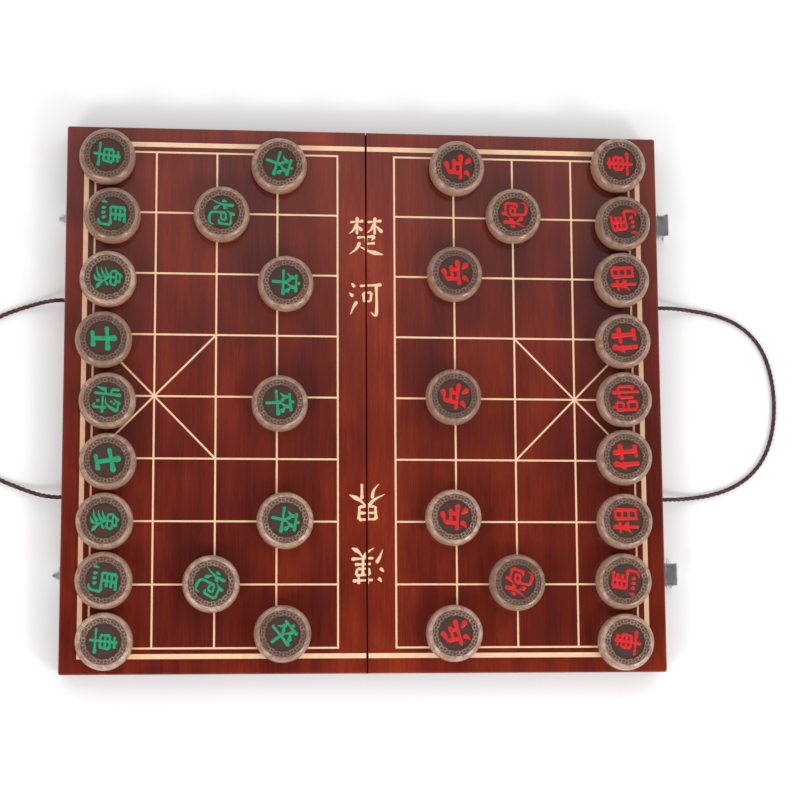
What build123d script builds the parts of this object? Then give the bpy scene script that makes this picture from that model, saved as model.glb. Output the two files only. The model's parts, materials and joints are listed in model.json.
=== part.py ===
from build123d import *
from math import cos, pi, radians, sin, tan
import os

# A folding wooden case for Chinese chess, opened flat as a playing board.
# Millimetres, +Z up, Z = 0 on the table, origin under the middle of the seam.
# X runs across the river from the left half (-X) to the right half (+X), Y along the seam.
# u, v and w name places on an outer wall: u out from it, v up from its rim, w along Y.

os.makedirs("parts", exist_ok=True)

# ---- case ----
half_width = 267.5        # one half, from the seam to its outer wall
case_depth = 487.0
half_height = 30.0        # one half, from its rim to the playing surface
panel_thickness = 5.0
wall_thickness = 9.0
seam_gap = 1.0            # between the two halves on the open board
closed_gap = 0.3          # between the two rims on the closed case
corner_radius = 2.0       # upright outer corners
edge_round = 1.4          # rim of the playing surface
seam_chamfer = 0.55
rim_chamfer = 0.6

# ---- hinges ----
hinge_offset = 150.0      # each hinge's middle, from the middle of the seam
leaf_length = 40.0
leaf_reach = 14.0         # from the pin's axis to the leaf's far edge
leaf_thickness = 1.0
knuckle_radius = 1.5
knuckle_count = 5
knuckle_gap = 0.3
knuckle_clearance = 0.4   # between a knuckle and the other half
hinge_pin_radius = 0.7
pivot_clearance = 0.08    # around every pin that turns
mortise_clearance = 0.2

# ---- screws ----
screw_shank_radius = 1.2
screw_length = 7.0        # of shank in the wood
screw_clearance = 0.15
hinge_screw_spacing = 13.0
hinge_screw_height = 8.5  # above the pin's axis
pan_head_radius = 1.9
pan_head_height = 0.9
slot_width = 0.5
slot_depth = 0.5

# ---- toggle latches on the right outer wall ----
latch_offset = 160.75     # each latch's middle, from the middle between the two
latch_shift = 4.25        # the middle between them, from the wall's middle to the far end
latch_plate_width = 24.0
latch_plate_low = 3.0
latch_plate_height = 19.0
latch_screw_low_inset = 2.6   # from the plate's lower and upper edges
latch_screw_high_inset = 3.0
plate_thickness = 1.0
plate_corner = 1.5
lever_pivot_u = 4.2
lever_pivot_v = 8.5
lever_pin_radius = 1.0
pin_head_radius = 1.6
pin_head_height = 0.6
ear_radius = 2.0
ear_spacing = 15.0        # between the ears' inner faces
cheek_spacing = 17.8      # between the lever's cheeks
sheet = 1.0               # thickness of ears, cheeks and the lever's face
lever_face_gap = 2.5      # from the pivot to the inside of the lever's face
lever_length = 15.0
lever_flare = 1.2         # how far the finger tip turns out
lever_rest_angle = 20.0   # how far the lever stands open at rest
lever_open_angle = 95.0
bail_pivot_distance = 5.0
bail_pivot_inset = 0.2    # past dead centre, so that the closed lever stays shut
bail_wire_radius = 0.8
bail_half_width = 11.8
bail_bend = 1.5
bail_corner = 3.0
bail_reach = 2.5          # past the rim, when latched
table_clearance = 0.2

# ---- catch plates on the left outer wall ----
catch_width = 18.0
catch_root_width = 11.0   # of the hook, at the plate
catch_waist = 1.2         # how far the hook's edges curve in
catch_height = 14.0
catch_reach = 8.0
catch_tip_width = 2.4
catch_lip_height = 2.2
catch_clearance = 0.3     # between the hook and the latched bail
catch_screw_spacing = 11.0
catch_screw_height = 9.5

# ---- rope handles ----
rope_radius = 2.0
rope_hole_radius = 2.75
rope_offset = 88.5        # each hole, from the middle of the wall
rope_height = 14.0        # of the holes, above the table
knot_radius = 6.0
knot_length = 8.0

# ---- board and game pieces ----
river_width = 51.4
rank_pitch = 54.1
file_pitch = 55.25
back_rank_inset = 12.7    # the back row stands this far inside its line
piece_radius = 25.0
piece_thickness = 18.5
piece_round = 5.0         # top and bottom edges
piece_barrel = 0.5        # how far the side bulges
band_outer_radius = 20.1
band_inner_radius = 15.0
band_sink = 0.5
recess_sink = 1.3

# ---- worked out from the sizes above ----
pin_z = knuckle_radius
rim_z = pin_z + closed_gap / 2
top_z = rim_z + half_height
panel_base_z = top_z - panel_thickness
wall_height = panel_base_z - rim_z
inner_x = seam_gap / 2
depth_half = case_depth / 2
wall_inner_x = half_width - wall_thickness
SIDES = (("left", -1), ("right", 1))
ENDS = (("far", 1), ("near", -1))
hinge_ys = (-hinge_offset, hinge_offset)
rope_ys = (-rope_offset, rope_offset)
latch_ys = {end: sy * latch_offset + latch_shift for end, sy in ENDS}
hinge_screw_ys = [y + i * hinge_screw_spacing for y in hinge_ys for i in (-1, 0, 1)]
screw_head_radius = screw_shank_radius + leaf_thickness
latch_screw_vs = (
    latch_plate_low + latch_screw_low_inset,
    latch_plate_low + latch_plate_height - latch_screw_high_inset,
)


def save(builder, label):
    """Name a finished piece and write it."""
    builder.part.label = label
    export_step(builder.part, f"parts/{label}.step")


def into_wall(x, sx, y, z):
    """A plane on an upright face at x, whose normal points into the wood on side sx."""
    return Plane(origin=(x, y, z), x_dir=(0, 1, 0), z_dir=(sx, 0, 0))


# ---- board panels: the playing surface, one over each half ----
for side, sx in SIDES:
    with BuildPart() as panel:
        with BuildSketch(Plane.XY.offset(panel_base_z)):
            with Locations((sx * (inner_x + half_width) / 2, 0)):
                Rectangle(half_width - inner_x, case_depth)
        extrude(amount=panel_thickness)
        fillet(panel.edges().filter_by(Axis.Z).sort_by(lambda e: abs(e.center().X))[-2:], corner_radius)
        top_edges = panel.faces().sort_by(Axis.Z)[-1].edges().sort_by(lambda e: abs(e.center().X))
        chamfer(top_edges[0], seam_chamfer)
        outer_edges = panel.faces().sort_by(Axis.Z)[-1].edges().sort_by(lambda e: abs(e.center().X))[1:]
        fillet(outer_edges, edge_round)
    save(panel, f"{side}_board_panel")

# ---- hinge walls: the two walls along the seam, mortised for the hinges ----
for side, sx in SIDES:
    with BuildPart() as hinge_wall:
        with BuildSketch(Plane.XY.offset(rim_z)):
            with Locations((sx * (inner_x + wall_thickness / 2), 0)):
                Rectangle(wall_thickness, case_depth)
        extrude(amount=wall_height)
        cut_length = leaf_length + 2 * mortise_clearance
        leaf_bed = pin_z + leaf_reach + mortise_clearance - rim_z
        knuckle_bed = pin_z + knuckle_radius + knuckle_clearance - rim_z
        knuckle_bed_width = knuckle_radius + knuckle_clearance - inner_x
        with BuildSketch(Plane.XY.offset(rim_z)):
            with Locations(*[(sx * (inner_x + leaf_thickness / 2), y) for y in hinge_ys]):
                Rectangle(leaf_thickness, cut_length)
        extrude(amount=leaf_bed, mode=Mode.SUBTRACT)
        with BuildSketch(Plane.XY.offset(rim_z)):
            with Locations(*[(sx * (inner_x + knuckle_bed_width / 2), y) for y in hinge_ys]):
                Rectangle(knuckle_bed_width, cut_length)
        extrude(amount=knuckle_bed, mode=Mode.SUBTRACT)
        for y in hinge_screw_ys:
            with BuildSketch(into_wall(sx * inner_x, sx, y, pin_z + hinge_screw_height)):
                Circle(screw_shank_radius + screw_clearance)
            extrude(amount=leaf_thickness + screw_length + screw_clearance, mode=Mode.SUBTRACT)
    save(hinge_wall, f"{side}_hinge_wall")

# ---- latch walls: the two outer walls, bored for the rope and the screws ----
for side, sx in SIDES:
    with BuildPart() as latch_wall:
        with BuildSketch(Plane.XY.offset(rim_z)):
            with Locations((sx * (wall_inner_x + half_width) / 2, 0)):
                Rectangle(wall_thickness, case_depth)
        extrude(amount=wall_height)
        fillet(
            latch_wall.edges().filter_by(Axis.Z).sort_by(lambda e: abs(e.center().X))[-2:],
            corner_radius,
        )
        bottom = latch_wall.faces().sort_by(Axis.Z)[0]
        chamfer(bottom.edges().sort_by(lambda e: abs(e.center().X))[-1], rim_chamfer)
        for y in rope_ys:
            with BuildSketch(into_wall(sx * half_width, -sx, y, rope_height)):
                Circle(rope_hole_radius)
            extrude(amount=wall_thickness, mode=Mode.SUBTRACT)
        if side == "right":
            screw_places = [(y, v) for y in latch_ys.values() for v in latch_screw_vs]
        else:
            screw_places = [
                (y + sw * catch_screw_spacing / 2, catch_screw_height)
                for y in latch_ys.values() for sw in (-1, 1)
            ]
        for y, v in screw_places:
            with BuildSketch(into_wall(sx * half_width, -sx, y, rim_z + v)):
                Circle(screw_shank_radius + screw_clearance)
            extrude(amount=screw_length + screw_clearance, mode=Mode.SUBTRACT)
    save(latch_wall, f"{side}_latch_wall")

# ---- far and near walls: the two end walls of each half, butted between the others ----
for side, sx in SIDES:
    for end, sy in ENDS:
        with BuildPart() as end_wall:
            low_x = inner_x + wall_thickness
            with BuildSketch(Plane.XY.offset(rim_z)):
                with Locations((sx * (low_x + wall_inner_x) / 2, sy * (depth_half - wall_thickness / 2))):
                    Rectangle(wall_inner_x - low_x, wall_thickness)
            extrude(amount=wall_height)
            bottom = end_wall.faces().sort_by(Axis.Z)[0]
            chamfer(bottom.edges().sort_by(lambda e: abs(e.center().Y))[-1], rim_chamfer)
        save(end_wall, f"{side}_{end}_wall")

# ---- hinges: mortised brass butts, their knuckles under the seam ----
pitch = (leaf_length + knuckle_gap) / knuckle_count
knuckle_length = pitch - knuckle_gap
leaf_low = pin_z + knuckle_radius + knuckle_clearance


def knuckle_ys(first):
    """The middles of every second knuckle of both hinges, from the first one given."""
    start = -leaf_length / 2 + knuckle_length / 2
    return [y + start + i * pitch for y in hinge_ys for i in range(first, knuckle_count, 2)]


for (side, sx), first in zip(SIDES, (0, 1)):
    with BuildPart() as leaves:
        with BuildSketch(Plane.XY.offset(leaf_low)):
            with Locations(*[(sx * (inner_x + leaf_thickness / 2), y) for y in hinge_ys]):
                Rectangle(leaf_thickness, leaf_length)
        extrude(amount=pin_z + leaf_reach - leaf_low)
        with BuildSketch(Plane.XY.offset(pin_z)):
            with Locations(*[(sx * (inner_x + leaf_thickness / 2), y) for y in knuckle_ys(first)]):
                Rectangle(leaf_thickness, knuckle_length)
        extrude(amount=leaf_low - pin_z)
        for y in knuckle_ys(first):
            with BuildSketch(Plane.XZ.offset(-y)):
                with Locations((0, pin_z)):
                    Circle(knuckle_radius)
            extrude(amount=knuckle_length / 2, both=True)
        for y in hinge_ys:
            with BuildSketch(Plane.XZ.offset(-y)):
                with Locations((0, pin_z)):
                    Circle(hinge_pin_radius + pivot_clearance)
            extrude(amount=leaf_length, both=True, mode=Mode.SUBTRACT)
        for y in hinge_screw_ys:
            with BuildSketch(into_wall(sx * inner_x, sx, y, pin_z + hinge_screw_height)):
                Circle(screw_head_radius + screw_clearance)
            extrude(amount=leaf_thickness, taper=45, mode=Mode.SUBTRACT)
    save(leaves, f"{side}_hinge_leaves")

with BuildPart() as hinge_pins:
    for y in hinge_ys:
        with BuildSketch(Plane.XZ.offset(-y)):
            with Locations((0, pin_z)):
                Circle(hinge_pin_radius)
        extrude(amount=leaf_length / 2 - knuckle_gap, both=True)
save(hinge_pins, "hinge_pins")


# ---- screws: countersunk in the hinges, pan heads on the latches and catches ----
for side, sx in SIDES:
    hinge_faces = [into_wall(sx * inner_x, sx, y, pin_z + hinge_screw_height) for y in hinge_screw_ys]
    if side == "right":
        places = [(y, v) for y in latch_ys.values() for v in latch_screw_vs]
    else:
        places = [
            (y + sw * catch_screw_spacing / 2, catch_screw_height)
            for y in latch_ys.values() for sw in (-1, 1)
        ]
    plate_x = sx * (half_width + plate_thickness)
    plate_faces = [into_wall(plate_x, -sx, y, rim_z + v) for y, v in places]
    with BuildPart() as screws:
        for face in hinge_faces:
            with BuildSketch(face):
                Circle(screw_head_radius)
            extrude(amount=leaf_thickness, taper=45)
            with BuildSketch(face.offset(leaf_thickness)):
                Circle(screw_shank_radius)
            extrude(amount=screw_length)
        for face in plate_faces:
            with BuildSketch(face):
                Circle(pan_head_radius)
            extrude(amount=-pan_head_height, taper=20)
            with BuildSketch(face):
                Circle(screw_shank_radius)
            extrude(amount=plate_thickness + screw_length)
        for head in hinge_faces + [face.offset(-pan_head_height) for face in plate_faces]:
            with BuildSketch(head):
                Rectangle(2 * screw_shank_radius, slot_width)
                Rectangle(slot_width, 2 * screw_shank_radius)
            extrude(amount=slot_depth, mode=Mode.SUBTRACT)
    save(screws, f"{side}_screws")

# ---- toggle latches: base with ears, riveted lever, wire bail ----
lever_pivot_x = half_width + lever_pivot_u
lever_pivot_z = rim_z + lever_pivot_v
bail_closed_u = lever_pivot_u - bail_pivot_inset
bail_closed_v = lever_pivot_v + bail_pivot_distance
bail_length = bail_closed_v + bail_reach


def swing(u, v, angle):
    """Turn a place on the closed lever open by an angle about its pivot; gives X and Z."""
    du, dv = u - lever_pivot_u, v - lever_pivot_v
    turned_u = du * cos(radians(angle)) + dv * sin(radians(angle))
    turned_v = -du * sin(radians(angle)) + dv * cos(radians(angle))
    return lever_pivot_x + turned_u, lever_pivot_z + turned_v


bail_pivot_x, bail_pivot_z = swing(bail_closed_u, bail_closed_v, lever_rest_angle)
bail_drop = bail_pivot_z - bail_wire_radius - table_clearance
bail_run = (bail_length**2 - bail_drop**2) ** 0.5
cheek_outer = cheek_spacing / 2 + sheet
print(f"lever pivot x {lever_pivot_x:.3f} z {lever_pivot_z:.3f}")
print(f"bail pivot x {bail_pivot_x:.3f} z {bail_pivot_z:.3f} run {bail_run:.3f} drop {bail_drop:.3f}")

for end, latch_y in latch_ys.items():
    with BuildPart() as base:
        with BuildSketch(Plane.YZ.offset(half_width)):
            with Locations((latch_y, rim_z + latch_plate_low + latch_plate_height / 2)):
                RectangleRounded(latch_plate_width, latch_plate_height, plate_corner)
        extrude(amount=plate_thickness)
        for ear_y in (latch_y - ear_spacing / 2 - sheet, latch_y + ear_spacing / 2):
            with BuildSketch(Plane.XZ.offset(-ear_y)):
                with Locations((lever_pivot_x, lever_pivot_z)):
                    Circle(ear_radius)
                with Locations((half_width + lever_pivot_u / 2, lever_pivot_z)):
                    Rectangle(lever_pivot_u, 2 * ear_radius)
                with Locations((lever_pivot_x, lever_pivot_z)):
                    Circle(lever_pin_radius + pivot_clearance / 2, mode=Mode.SUBTRACT)
            extrude(amount=-sheet)
        for v in latch_screw_vs:
            with BuildSketch(Plane.YZ.offset(half_width)):
                with Locations((latch_y, rim_z + v)):
                    Circle(screw_shank_radius + screw_clearance)
            extrude(amount=plate_thickness, mode=Mode.SUBTRACT)
    save(base, f"{end}_latch_base")

    with BuildPart() as lever:
        face_u = lever_pivot_u + lever_face_gap
        face_low = lever_pivot_v - ear_radius
        tip_v = lever_pivot_v + lever_length
        cheek = [
            (lever_pivot_u - ear_radius, face_low), (face_u + sheet / 2, face_low),
            (face_u + sheet / 2, bail_closed_v + 2 * ear_radius),
            (face_u - sheet, bail_closed_v + 2 * ear_radius),
            (bail_closed_u - ear_radius, bail_closed_v + ear_radius / 2),
        ]
        for cheek_y in (latch_y - cheek_outer, latch_y + cheek_spacing / 2):
            with BuildSketch(Plane.XZ.offset(-cheek_y)):
                with BuildLine():
                    Polyline(*[swing(u, v, lever_rest_angle) for u, v in cheek], close=True)
                make_face()
                with Locations((lever_pivot_x, lever_pivot_z)):
                    Circle(lever_pin_radius + pivot_clearance, mode=Mode.SUBTRACT)
                with Locations((bail_pivot_x, bail_pivot_z)):
                    Circle(bail_wire_radius + pivot_clearance, mode=Mode.SUBTRACT)
            extrude(amount=-sheet)
        tip = [
            (face_u, face_low), (face_u, tip_v - 2 * lever_flare), (face_u + lever_flare, tip_v),
            (face_u + lever_flare + sheet, tip_v), (face_u + sheet, tip_v - 2 * lever_flare),
            (face_u + sheet, face_low),
        ]
        with BuildSketch(Plane.XZ.offset(-latch_y)):
            with BuildLine():
                Polyline(*[swing(u, v, lever_rest_angle) for u, v in tip], close=True)
            make_face()
        extrude(amount=cheek_outer, both=True)
    save(lever, f"{end}_latch_lever")

    with BuildPart() as bail:
        foot_x, foot_z = bail_pivot_x + bail_run, bail_pivot_z - bail_drop
        half_bar = bail_half_width
        pin_y = cheek_spacing / 2 - table_clearance
        with BuildLine() as bail_wire:
            FilletPolyline(
                (bail_pivot_x, latch_y - pin_y, bail_pivot_z),
                (bail_pivot_x, latch_y - half_bar, bail_pivot_z),
                (foot_x, latch_y - half_bar, foot_z),
                (foot_x, latch_y + half_bar, foot_z),
                (bail_pivot_x, latch_y + half_bar, bail_pivot_z),
                (bail_pivot_x, latch_y + pin_y, bail_pivot_z),
                radius=[bail_bend, bail_corner, bail_corner, bail_bend],
            )
        with BuildSketch(Plane(origin=bail_wire.line @ 0, z_dir=bail_wire.line % 0)):
            Circle(bail_wire_radius)
        sweep(path=bail_wire.line)
    save(bail, f"{end}_latch_bail")

with BuildPart() as latch_pins:
    for latch_y in latch_ys.values():
        with BuildSketch(Plane.XZ.offset(-latch_y)):
            with Locations((lever_pivot_x, lever_pivot_z)):
                Circle(lever_pin_radius)
        extrude(amount=cheek_outer + pivot_clearance, both=True)
        for head_side in (-1, 1):
            head_y = latch_y + head_side * (cheek_outer + pivot_clearance)
            with BuildSketch(Plane.XZ.offset(-head_y)):
                with Locations((lever_pivot_x, lever_pivot_z)):
                    Circle(pin_head_radius)
            extrude(amount=-head_side * pin_head_height, taper=15)
save(latch_pins, "latch_pins")

# ---- catch plates: a pointed hook that the latched bail pulls on ----
latched_v = bail_length - bail_closed_v - closed_gap    # the bail's bar, above the left rim
ledge_top_v = latched_v - bail_wire_radius - catch_clearance
ledge_low_v = ledge_top_v - sheet
for end, catch_y in latch_ys.items():
    with BuildPart() as catch:
        with BuildSketch(Plane.YZ.offset(-half_width)):
            with Locations((catch_y, rim_z + ledge_low_v + catch_height / 2)):
                RectangleRounded(catch_width, catch_height, plate_corner)
            with Locations(*[
                (catch_y + sw * catch_screw_spacing / 2, rim_z + catch_screw_height) for sw in (-1, 1)
            ]):
                Circle(screw_shank_radius + screw_clearance, mode=Mode.SUBTRACT)
        extrude(amount=-plate_thickness)
        with BuildSketch(Plane.XY.offset(rim_z + ledge_low_v)):
            with BuildLine():
                root, point = catch_root_width / 2, catch_tip_width / 2
                plate_x, tip_x = -half_width - plate_thickness, -half_width - catch_reach
                waist_x, waist = (plate_x + tip_x) / 2, (root + point) / 2 - catch_waist
                Polyline(
                    (plate_x, catch_y + root), (-half_width, catch_y + root),
                    (-half_width, catch_y - root), (plate_x, catch_y - root),
                )
                ThreePointArc((plate_x, catch_y - root), (waist_x, catch_y - waist), (tip_x, catch_y - point))
                Line((tip_x, catch_y - point), (tip_x, catch_y + point))
                ThreePointArc((tip_x, catch_y + point), (waist_x, catch_y + waist), (plate_x, catch_y + root))
            make_face()
        extrude(amount=sheet)
        with BuildSketch(Plane.XY.offset(rim_z + ledge_low_v)):
            with Locations((-half_width - catch_reach + sheet / 2, catch_y)):
                Rectangle(sheet, catch_tip_width)
        extrude(amount=sheet + catch_lip_height)
    save(catch, f"{end}_catch_plate")

# ---- rope handles: each runs out of one hole, round on the table and into the other ----
right_route = [
    (wall_inner_x, rope_offset, rope_height), (276, rope_offset, rope_height), (292, 89.2, 6.6),
    (308, 87.9, 2.7),
    (327, 84.8, 2.2), (346, 78, 2.2), (362, 66, 2.2), (373.5, 49, 2.2), (380, 26, 2.2),
    (382, 0, 2.2), (379, -26, 2.2), (371, -48, 2.2), (357.5, -65, 2.2), (340, -76.5, 2.2),
    (321, -83, 2.2), (303, -86, 2.8), (288.5, -87.6, 7), (275.5, -rope_offset, rope_height),
    (wall_inner_x, -rope_offset, rope_height),
]
left_route = [
    (-wall_inner_x, rope_offset, rope_height), (-275.5, rope_offset, rope_height), (-290, 87, 6.4),
    (-305, 83, 2.7), (-323, 76.5, 2.2), (-340, 67, 2.2), (-354, 54, 2.2), (-363.5, 37, 2.2),
    (-368.5, 16, 2.2), (-369, -7, 2.2), (-364.5, -29, 2.2), (-355.5, -47, 2.2), (-342, -61, 2.2),
    (-326, -71, 2.2), (-309, -78, 2.7), (-293.5, -84, 6.6), (-277, -rope_offset, rope_height),
    (-wall_inner_x, -rope_offset, rope_height),
]


def bend_radii(route):
    """The largest tangent arc at each corner that its two runs leave room for."""
    radii = []
    for before, here, after in zip(route, route[1:], route[2:]):
        run_in, run_out = Vector(*here) - Vector(*before), Vector(*after) - Vector(*here)
        turn = run_in.get_angle(run_out)
        radii.append(0.45 * min(run_in.length, run_out.length) / tan(radians(turn) / 2))
    return radii


for (side, sx), route in zip(SIDES, (left_route, right_route)):
    radii = bend_radii(route)
    with BuildPart() as rope:
        with BuildLine() as rope_line:
            FilletPolyline(*route, radius=radii)
        with BuildSketch(Plane(origin=rope_line.line @ 0, z_dir=rope_line.line % 0)):
            Circle(rope_radius)
        sweep(path=rope_line.line)
    rope_length = rope_line.wire().length
    section_volume = pi * rope_radius**2 * rope_length
    print(f"{side} rope: length {rope_length:.1f}, volume / section x length "
          f"{rope.part.volume / section_volume:.4f}, radii {[round(r) for r in radii]}")
    save(rope, f"{side}_rope_handle")

    with BuildPart() as knots:
        for y in rope_ys:
            with BuildSketch(into_wall(sx * wall_inner_x, -sx, y, rope_height)):
                Circle(knot_radius)
            extrude(amount=knot_length)
        fillet(knots.edges().filter_by(GeomType.CIRCLE), 0.4 * knot_radius)
    save(knots, f"{side}_rope_knots")


# ---- game pieces: round, barrelled, with a sunk band and a deeper sunk face ----
def game_piece(label, x, y):
    side_radius = piece_radius - piece_barrel
    centre_r = side_radius - piece_round
    drop = piece_round - (piece_round**2 - (band_outer_radius - centre_r) ** 2) ** 0.5
    lip_z = piece_thickness - drop
    bend = piece_round * cos(radians(45))
    with BuildPart() as piece:
        with BuildSketch(Plane(origin=(x, y, top_z), x_dir=(1, 0, 0), z_dir=(0, -1, 0))):
            with BuildLine():
                Line((0, 0), (centre_r, 0))
                ThreePointArc((centre_r, 0), (centre_r + bend, piece_round - bend), (side_radius, piece_round))
                ThreePointArc(
                    (side_radius, piece_round), (piece_radius, piece_thickness / 2),
                    (side_radius, piece_thickness - piece_round),
                )
                ThreePointArc(
                    (side_radius, piece_thickness - piece_round),
                    (centre_r + bend, piece_thickness - piece_round + bend),
                    (band_outer_radius, lip_z),
                )
                Polyline(
                    (band_outer_radius, lip_z), (band_outer_radius, piece_thickness - band_sink),
                    (band_inner_radius, piece_thickness - band_sink),
                    (band_inner_radius, piece_thickness - recess_sink),
                    (0, piece_thickness - recess_sink), (0, 0),
                )
            make_face()
        revolve(axis=Axis((x, y, 0), (0, 0, 1)))
    save(piece, label)


# Each man stands near a crossing of the grid: side, name, rank from the river (0 to 4),
# file from the middle (-4 to 4), and how far off the crossing it was set down.
men = [
    ("green", "chariot_far", 4, 4, -2, -8), ("green", "horse_far", 4, 3, 3, -6),
    ("green", "elephant_far", 4, 2, 0, -8), ("green", "advisor_far", 4, 1, -3, -7),
    ("green", "general", 4, 0, 1, -6), ("green", "advisor_near", 4, -1, 2, -4),
    ("green", "elephant_near", 4, -2, 0, -1), ("green", "horse_near", 4, -3, 0, 3),
    ("green", "chariot_near", 4, -4, 1, 6), ("green", "cannon_far", 2, 3, 4, -3),
    ("green", "cannon_near", 2, -3, -3, 0), ("green", "soldier_1", 1, 4, 1, -13),
    ("green", "soldier_2", 1, 2, 7, -10), ("green", "soldier_3", 1, 0, 2, -7),
    ("green", "soldier_4", 1, -2, 7, 0), ("green", "soldier_5", 1, -4, 5, 12),
    ("red", "chariot_far", 4, 4, 1, -6), ("red", "horse_far", 4, 3, 4, -5),
    ("red", "elephant_far", 4, 2, 2, -2), ("red", "advisor_far", 4, 1, 2, -3),
    ("red", "general", 4, 0, 2, -1), ("red", "advisor_near", 4, -1, 1, 2),
    ("red", "elephant_near", 4, -2, 0, 0), ("red", "horse_near", 4, -3, -2, 2),
    ("red", "chariot_near", 4, -4, -1, 4), ("red", "cannon_far", 2, 3, -1, 0),
    ("red", "cannon_near", 2, -3, -2, 1), ("red", "soldier_1", 1, 4, 2, -12),
    ("red", "soldier_2", 1, 2, -1, 1), ("red", "soldier_3", 1, 0, -3, 0),
    ("red", "soldier_4", 1, -2, -4, 3), ("red", "soldier_5", 1, -4, -4, 12),
]
for colour, name, rank, file, off_x, off_y in men:
    sx = -1 if colour == "green" else 1
    inset = back_rank_inset if rank == 4 else 0
    line_x = sx * (river_width / 2 + rank * rank_pitch - inset)
    game_piece(f"{colour}_{name}", line_x + off_x, file * file_pitch + off_y)
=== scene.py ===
import json
from math import cos, pi, radians, sin

import bmesh
import bpy
from mathutils import Matrix, Vector
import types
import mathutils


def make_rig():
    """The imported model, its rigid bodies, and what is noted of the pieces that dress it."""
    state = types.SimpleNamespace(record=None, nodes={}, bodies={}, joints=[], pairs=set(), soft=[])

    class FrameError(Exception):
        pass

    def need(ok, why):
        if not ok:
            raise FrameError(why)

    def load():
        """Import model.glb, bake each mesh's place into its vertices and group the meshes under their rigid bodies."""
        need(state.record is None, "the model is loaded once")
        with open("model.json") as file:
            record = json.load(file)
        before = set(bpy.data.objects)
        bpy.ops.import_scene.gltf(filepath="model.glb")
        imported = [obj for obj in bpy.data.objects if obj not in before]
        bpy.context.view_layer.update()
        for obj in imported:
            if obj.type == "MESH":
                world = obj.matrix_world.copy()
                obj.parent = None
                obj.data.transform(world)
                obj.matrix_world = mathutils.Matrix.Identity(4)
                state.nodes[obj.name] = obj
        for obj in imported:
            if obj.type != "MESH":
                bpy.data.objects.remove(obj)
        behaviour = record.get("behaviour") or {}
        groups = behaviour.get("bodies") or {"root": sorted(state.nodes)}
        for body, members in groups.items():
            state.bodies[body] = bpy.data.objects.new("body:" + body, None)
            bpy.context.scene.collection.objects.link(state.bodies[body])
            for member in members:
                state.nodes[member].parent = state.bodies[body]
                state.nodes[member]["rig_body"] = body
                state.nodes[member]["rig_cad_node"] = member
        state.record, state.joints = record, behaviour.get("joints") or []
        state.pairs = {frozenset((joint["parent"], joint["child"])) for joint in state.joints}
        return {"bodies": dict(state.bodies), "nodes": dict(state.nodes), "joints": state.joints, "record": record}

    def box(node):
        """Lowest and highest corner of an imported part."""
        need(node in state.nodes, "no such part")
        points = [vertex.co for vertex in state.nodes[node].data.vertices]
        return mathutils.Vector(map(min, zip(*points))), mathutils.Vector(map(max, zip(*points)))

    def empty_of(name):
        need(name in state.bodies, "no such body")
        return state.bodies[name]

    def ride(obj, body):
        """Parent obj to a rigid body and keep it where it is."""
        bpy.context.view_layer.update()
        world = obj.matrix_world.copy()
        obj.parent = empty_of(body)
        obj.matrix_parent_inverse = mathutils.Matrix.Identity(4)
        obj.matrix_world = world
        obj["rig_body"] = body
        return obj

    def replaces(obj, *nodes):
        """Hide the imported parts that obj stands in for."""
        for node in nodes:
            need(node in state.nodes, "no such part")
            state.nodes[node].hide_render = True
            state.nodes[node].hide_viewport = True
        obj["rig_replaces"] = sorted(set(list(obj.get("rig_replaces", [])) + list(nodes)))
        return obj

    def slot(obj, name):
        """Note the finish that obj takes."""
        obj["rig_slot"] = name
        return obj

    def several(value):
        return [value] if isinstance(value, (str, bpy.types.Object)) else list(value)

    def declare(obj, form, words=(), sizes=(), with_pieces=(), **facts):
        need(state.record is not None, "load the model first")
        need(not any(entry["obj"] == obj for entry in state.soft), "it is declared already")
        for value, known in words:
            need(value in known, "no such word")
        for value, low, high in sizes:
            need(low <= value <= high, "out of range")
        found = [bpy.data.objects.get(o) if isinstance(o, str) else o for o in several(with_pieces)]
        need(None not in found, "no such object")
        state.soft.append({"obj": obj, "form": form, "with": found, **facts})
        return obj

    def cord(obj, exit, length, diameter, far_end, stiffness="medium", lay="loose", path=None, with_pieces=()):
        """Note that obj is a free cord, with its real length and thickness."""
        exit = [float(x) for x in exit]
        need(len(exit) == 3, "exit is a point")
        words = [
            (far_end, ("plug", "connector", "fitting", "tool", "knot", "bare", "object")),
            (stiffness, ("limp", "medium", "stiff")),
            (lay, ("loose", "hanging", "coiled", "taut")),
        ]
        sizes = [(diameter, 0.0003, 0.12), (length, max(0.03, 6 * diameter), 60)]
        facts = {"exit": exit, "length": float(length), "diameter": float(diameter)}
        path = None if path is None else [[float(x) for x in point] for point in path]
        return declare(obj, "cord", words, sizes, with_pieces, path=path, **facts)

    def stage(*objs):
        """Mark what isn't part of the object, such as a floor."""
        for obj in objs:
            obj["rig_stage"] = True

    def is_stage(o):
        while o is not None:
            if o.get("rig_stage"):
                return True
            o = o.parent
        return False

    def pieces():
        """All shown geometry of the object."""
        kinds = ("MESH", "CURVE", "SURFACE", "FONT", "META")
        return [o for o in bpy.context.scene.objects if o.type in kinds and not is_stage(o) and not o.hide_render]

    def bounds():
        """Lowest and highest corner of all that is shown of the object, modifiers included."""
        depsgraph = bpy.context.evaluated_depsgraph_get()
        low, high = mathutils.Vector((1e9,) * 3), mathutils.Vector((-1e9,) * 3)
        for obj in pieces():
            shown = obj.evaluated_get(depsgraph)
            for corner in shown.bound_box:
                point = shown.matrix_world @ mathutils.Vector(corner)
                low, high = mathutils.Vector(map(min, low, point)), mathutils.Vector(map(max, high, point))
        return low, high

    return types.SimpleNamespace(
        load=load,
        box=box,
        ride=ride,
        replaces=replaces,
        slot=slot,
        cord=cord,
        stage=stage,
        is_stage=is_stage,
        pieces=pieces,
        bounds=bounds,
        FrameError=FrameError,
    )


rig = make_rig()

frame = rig.load()
cad_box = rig.bounds()

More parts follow.
